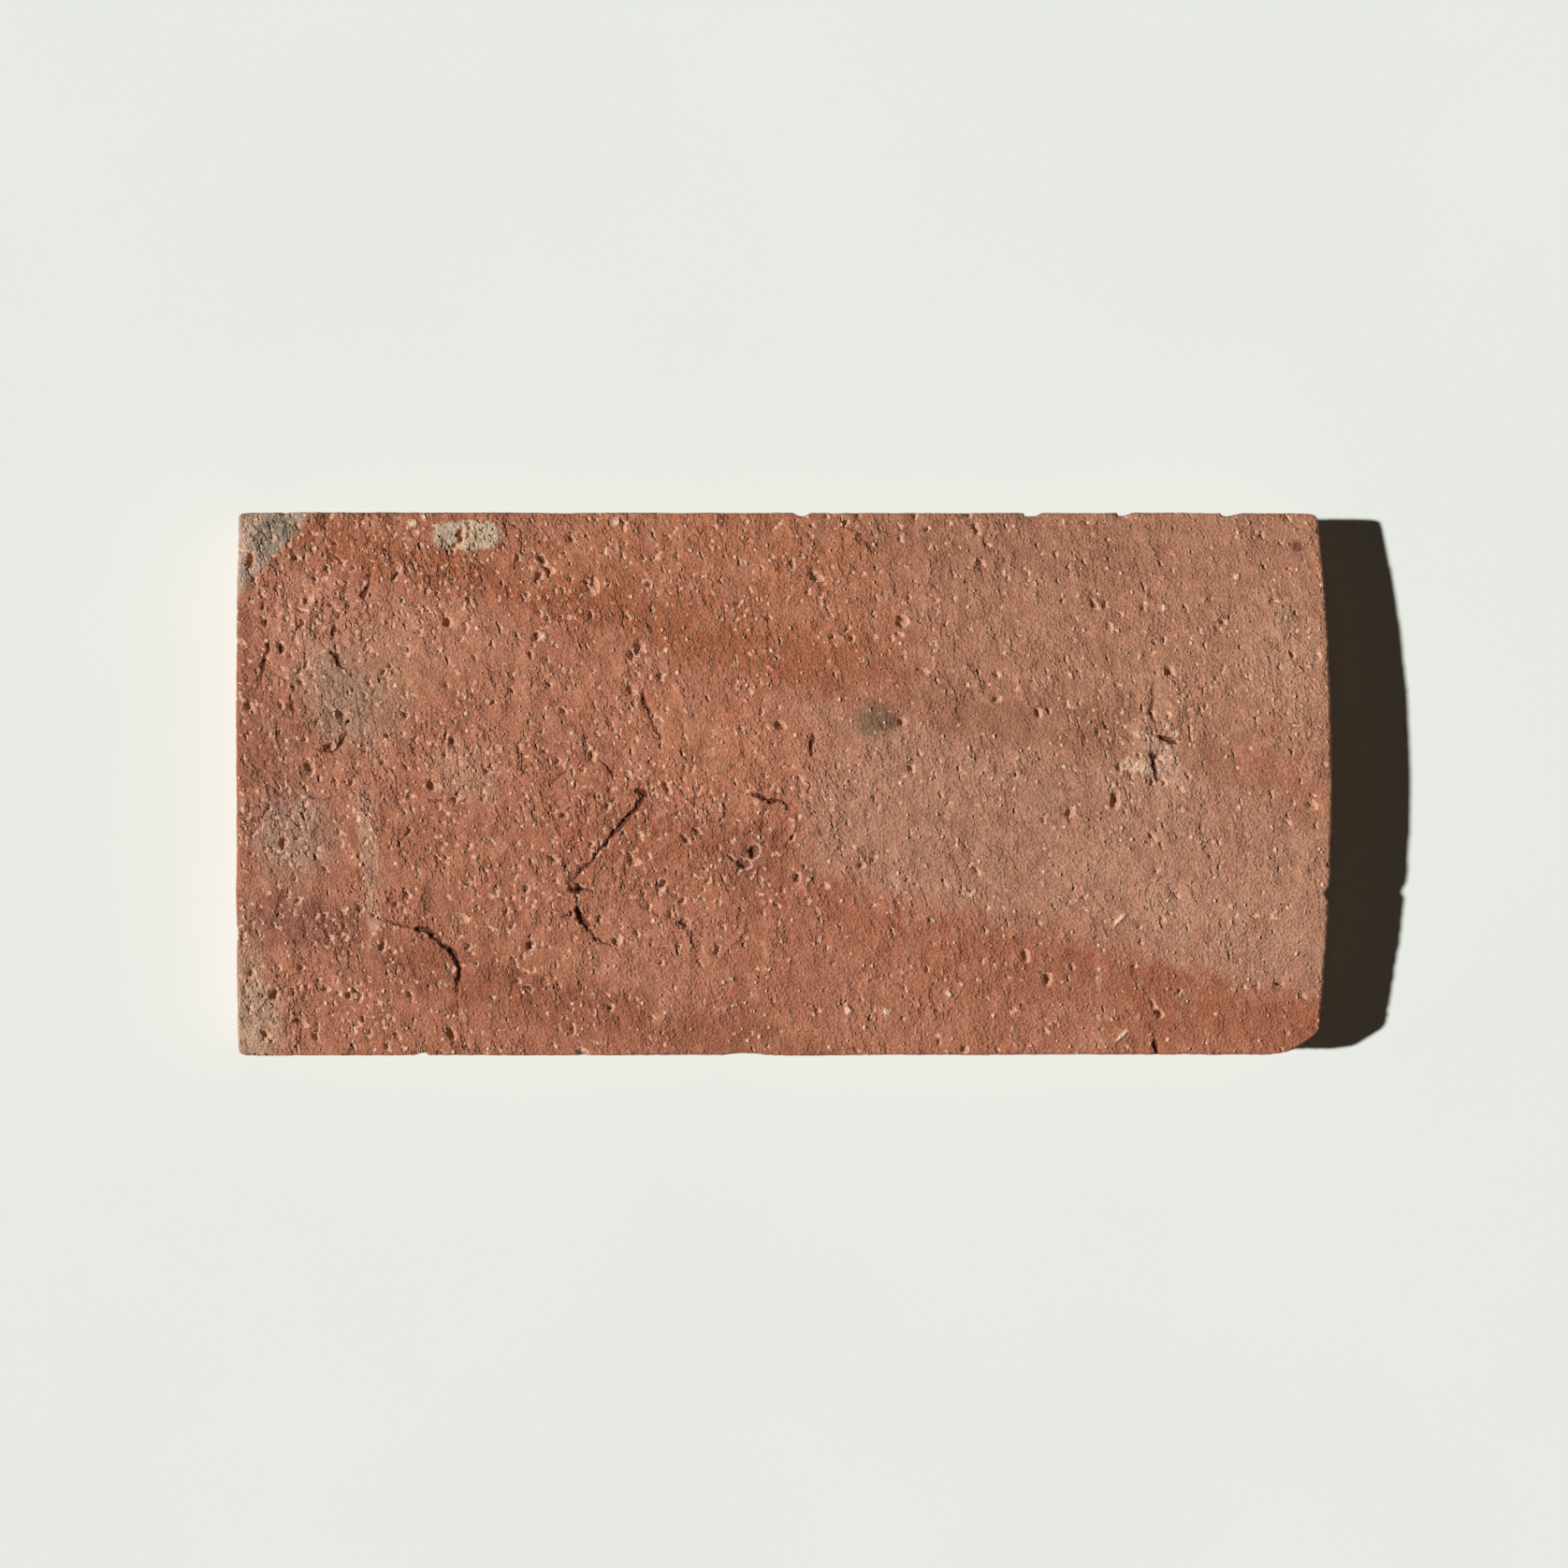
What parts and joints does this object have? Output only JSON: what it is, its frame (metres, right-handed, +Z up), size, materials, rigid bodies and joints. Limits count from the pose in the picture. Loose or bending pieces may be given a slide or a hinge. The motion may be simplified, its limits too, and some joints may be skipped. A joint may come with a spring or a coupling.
{
  "type": "terracotta floor tile",
  "caption": "Handmade oblong floor tile of red fired clay, cambered on top, with a bowed end, a broken corner and worn arrises, for laying in mortar.",
  "frame": {"origin": "middle of the bed, the flat underside that the tile lies on", "axes": "+X along the tile's length towards its bowed end, +Y across its width, +Z up out of the worn face"},
  "size_m": [0.3, 0.1498, 0.03],
  "materials": {
    "terracotta": "unglazed fired clay, matte, worn and stained"
  },
  "bodies": {
    "root": {"floor_tile": "terracotta"}
  },
  "joints": []
}
